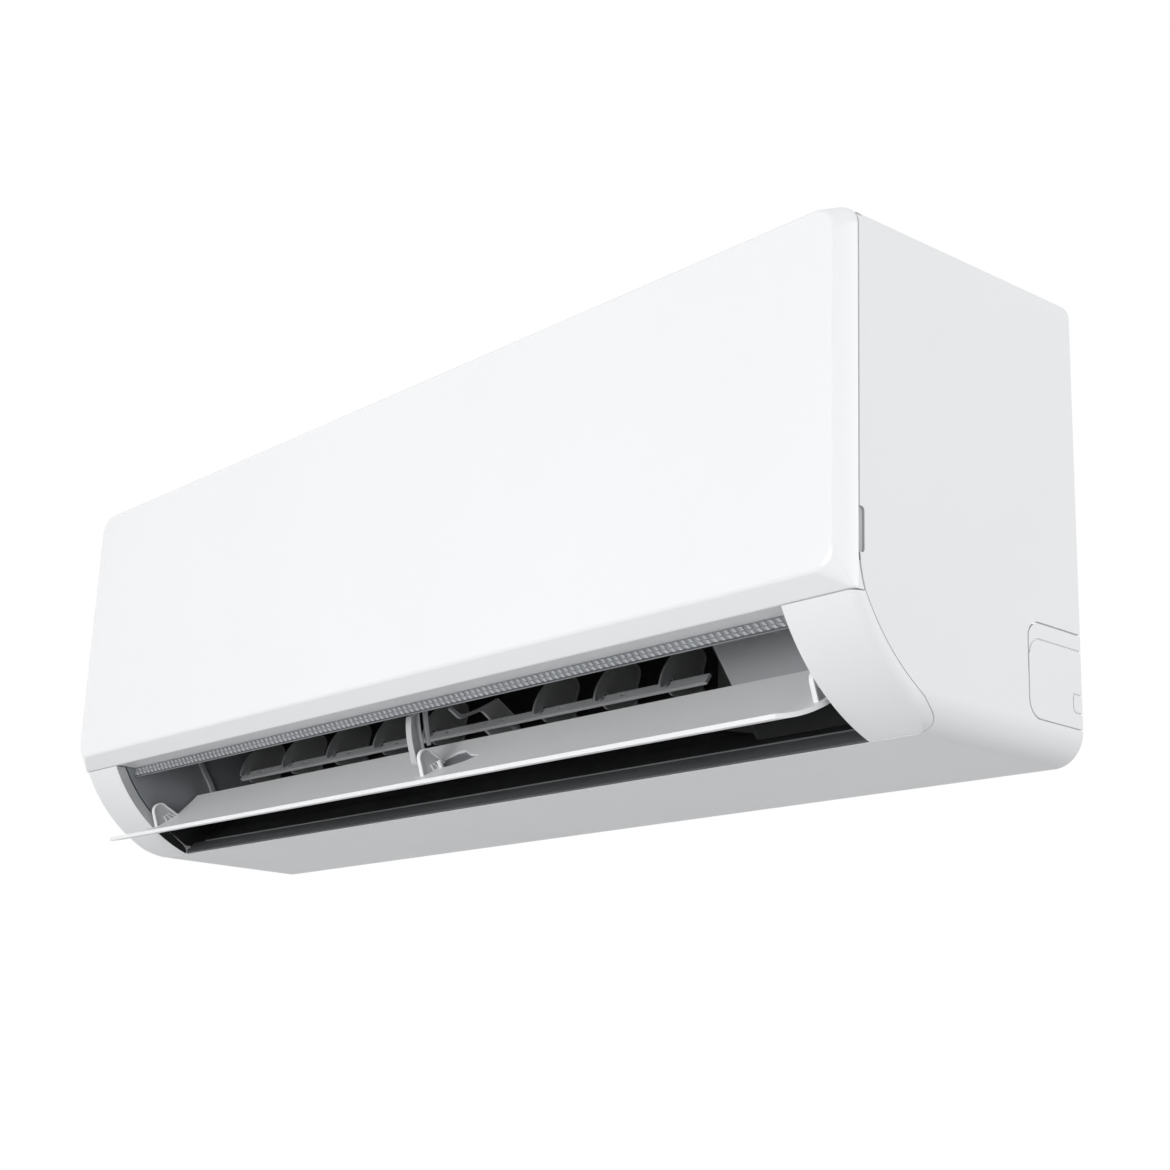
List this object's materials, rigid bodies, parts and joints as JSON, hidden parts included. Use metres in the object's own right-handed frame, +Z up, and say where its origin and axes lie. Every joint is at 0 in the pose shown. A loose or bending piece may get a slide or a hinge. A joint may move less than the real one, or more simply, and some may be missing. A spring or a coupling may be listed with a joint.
{
  "type": "wall-mounted air conditioner indoor unit",
  "caption": "White wall-mounted split air conditioner indoor unit with a swinging louver, side-to-side air vanes, cross-flow fan, coil, filters and a lift-up front panel.",
  "frame": {"origin": "middle of the wall plate's back face, 150 mm above the unit's underside", "axes": "+X to the right seen from the front, +Y into the wall, +Z up"},
  "size_m": [0.845, 0.209, 0.289],
  "materials": {
    "white_shell": "satin white shell",
    "white_panel": "glossy white",
    "light_grey": "fine matt light grey",
    "mid_grey": "fine matt mid grey",
    "charcoal": "fine matt charcoal",
    "galvanised": "galvanised sheet",
    "aluminium": "bare fins",
    "copper": "bare copper tube",
    "brass": "turned brass",
    "steel": "ground steel",
    "rubber": "moulded rubber",
    "board_green": "printed circuit board",
    "filter_mesh": "fine woven mesh in a moulded frame"
  },
  "bodies": {
    "unit": {"box_cover": "light_grey", "centre_bracket": "light_grey", "clamp_screw_1": "steel", "clamp_screw_2": "steel", "coil_front_lower": "aluminium", "coil_front_upper": "aluminium", "coil_plate_left": "galvanised", "coil_plate_right": "galvanised", "coil_rear": "aluminium", "control_board": "board_green", "drain_pan": "light_grey", "duct_side_left": "mid_grey", "duct_side_right": "mid_grey", "electrical_box": "charcoal", "end_cap_left": "white_shell", "end_cap_right": "white_shell", "fan_bearing": "rubber", "fan_motor": "galvanised", "front_casing": "white_shell", "gas_nut": "brass", "gas_pipe": "copper", "intake_grille": "white_shell", "liquid_nut": "brass", "liquid_pipe": "copper", "louver_motor": "galvanised", "motor_clamp": "light_grey", "outlet_lip": "charcoal", "partition": "mid_grey", "pipe_clamp": "light_grey", "pipe_cover_left": "white_shell", "pipe_cover_right": "white_shell", "rear_chassis": "charcoal", "swing_motor": "galvanised", "terminal_block": "charcoal", "wall_plate": "galvanised"},
    "panel": {"front_panel": "white_panel", "display_board": "board_green"},
    "louver": {"louver": "light_grey", "louver_shaft": "steel"},
    "fan": {"fan_wheel": "charcoal", "fan_stub_shaft": "steel", "motor_shaft": "steel"},
    "swing_crank": {"swing_crank": "light_grey"},
    "vane_link": {"vane_link": "mid_grey"},
    "filter_left": {"filter_left": "filter_mesh"},
    "filter_right": {"filter_right": "filter_mesh"},
    "emergency_button": {"emergency_button": "light_grey"},
    "vane_1": {"vane_1": "mid_grey"},
    "vane_2": {"vane_2": "mid_grey"},
    "vane_3": {"vane_3": "mid_grey"},
    "vane_4": {"vane_4": "mid_grey"},
    "vane_5": {"vane_5": "mid_grey"},
    "vane_6": {"vane_6": "mid_grey"},
    "vane_7": {"vane_7": "mid_grey"},
    "vane_8": {"vane_8": "mid_grey"}
  },
  "joints": [
    {"name": "panel_hinge", "type": "hinge", "parent": "unit", "child": "panel", "pos_m": [0, -0.192, 0.1305], "axis": [-1, 0, 0], "range_deg": [0, 60]},
    {"name": "louver_swing", "type": "hinge", "parent": "unit", "child": "louver", "pos_m": [0, -0.15655, -0.11903], "axis": [1, 0, 0], "range_deg": [-72.5, 32.5]},
    {"name": "fan_spin", "type": "hinge", "parent": "unit", "child": "fan", "pos_m": [0, -0.098, -0.008], "axis": [1, 0, 0], "continuous": true},
    {"name": "vane_1_swing", "type": "hinge", "parent": "unit", "child": "vane_1", "pos_m": [-0.3368, -0.063, -0.082], "axis": [0, -0.8453, 0.5344], "range_deg": [-35, 35]},
    {"name": "vane_2_swing", "type": "hinge", "parent": "unit", "child": "vane_2", "pos_m": [-0.2732, -0.063, -0.082], "axis": [0, -0.8453, 0.5344], "range_deg": [-35, 35]},
    {"name": "vane_3_swing", "type": "hinge", "parent": "unit", "child": "vane_3", "pos_m": [-0.2096, -0.063, -0.082], "axis": [0, -0.8453, 0.5344], "range_deg": [-35, 35]},
    {"name": "vane_4_swing", "type": "hinge", "parent": "unit", "child": "vane_4", "pos_m": [-0.146, -0.063, -0.082], "axis": [0, -0.8453, 0.5344], "range_deg": [-35, 35]},
    {"name": "vane_5_swing", "type": "hinge", "parent": "unit", "child": "vane_5", "pos_m": [-0.0824, -0.063, -0.082], "axis": [0, -0.8453, 0.5344], "range_deg": [-35, 35]},
    {"name": "crank_swing", "type": "hinge", "parent": "unit", "child": "swing_crank", "pos_m": [-0.0188, -0.063, -0.082], "axis": [0, -0.8453, 0.5344], "range_deg": [-35, 35]},
    {"name": "link_pivot", "type": "hinge", "parent": "swing_crank", "child": "vane_link", "pos_m": [-0.0188, -0.09217, -0.08249], "axis": [0, -0.8453, 0.5344], "range_deg": [-35, 35]},
    {"name": "vane_6_swing", "type": "hinge", "parent": "unit", "child": "vane_6", "pos_m": [0.0448, -0.063, -0.082], "axis": [0, -0.8453, 0.5344], "range_deg": [-35, 35]},
    {"name": "vane_7_swing", "type": "hinge", "parent": "unit", "child": "vane_7", "pos_m": [0.1084, -0.063, -0.082], "axis": [0, -0.8453, 0.5344], "range_deg": [-35, 35]},
    {"name": "vane_8_swing", "type": "hinge", "parent": "unit", "child": "vane_8", "pos_m": [0.172, -0.063, -0.082], "axis": [0, -0.8453, 0.5344], "range_deg": [-35, 35]},
    {"name": "filter_left_slide", "type": "slide", "parent": "unit", "child": "filter_left", "axis": [0, 0, 1], "range_m": [0, 0.185]},
    {"name": "filter_right_slide", "type": "slide", "parent": "unit", "child": "filter_right", "axis": [0, 0, 1], "range_m": [0, 0.185]},
    {"name": "button_press", "type": "slide", "parent": "unit", "child": "emergency_button", "axis": [0, 1, 0], "range_m": [0, 0.0015], "stiffness_N_per_m": 400, "springref_m": -0.0005}
  ],
  "couplings": [
    {"joint": "vane_1_swing", "follows": "crank_swing", "ratio": 1},
    {"joint": "vane_2_swing", "follows": "crank_swing", "ratio": 1},
    {"joint": "vane_3_swing", "follows": "crank_swing", "ratio": 1},
    {"joint": "vane_4_swing", "follows": "crank_swing", "ratio": 1},
    {"joint": "vane_5_swing", "follows": "crank_swing", "ratio": 1},
    {"joint": "link_pivot", "follows": "crank_swing", "ratio": -1},
    {"joint": "vane_6_swing", "follows": "crank_swing", "ratio": 1},
    {"joint": "vane_7_swing", "follows": "crank_swing", "ratio": 1},
    {"joint": "vane_8_swing", "follows": "crank_swing", "ratio": 1}
  ]
}
